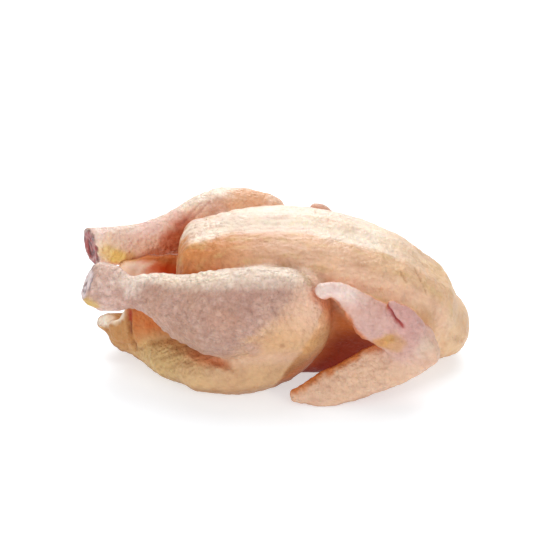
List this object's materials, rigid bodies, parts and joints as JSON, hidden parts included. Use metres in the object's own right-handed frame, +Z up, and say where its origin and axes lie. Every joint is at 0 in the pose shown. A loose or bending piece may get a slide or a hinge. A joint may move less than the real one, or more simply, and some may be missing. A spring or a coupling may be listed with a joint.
{
  "type": "whole raw chicken",
  "caption": "Whole raw oven-ready chicken lying on its back, skin on, drumsticks cut at the hock, wings folded, body cavity open at the tail end.",
  "frame": {"origin": "middle of the bird's box, on the flat patch of its back that it rests on", "axes": "+X towards the neck, +Z up through the breast, +Y the bird's right side; its left side faces -Y"},
  "size_m": [0.2604, 0.1652, 0.0989],
  "materials": {
    "skin": "moist raw poultry skin, pale cream to yellow pink, soft gloss"
  },
  "bodies": {
    "root": {"chicken": "skin"}
  },
  "joints": []
}
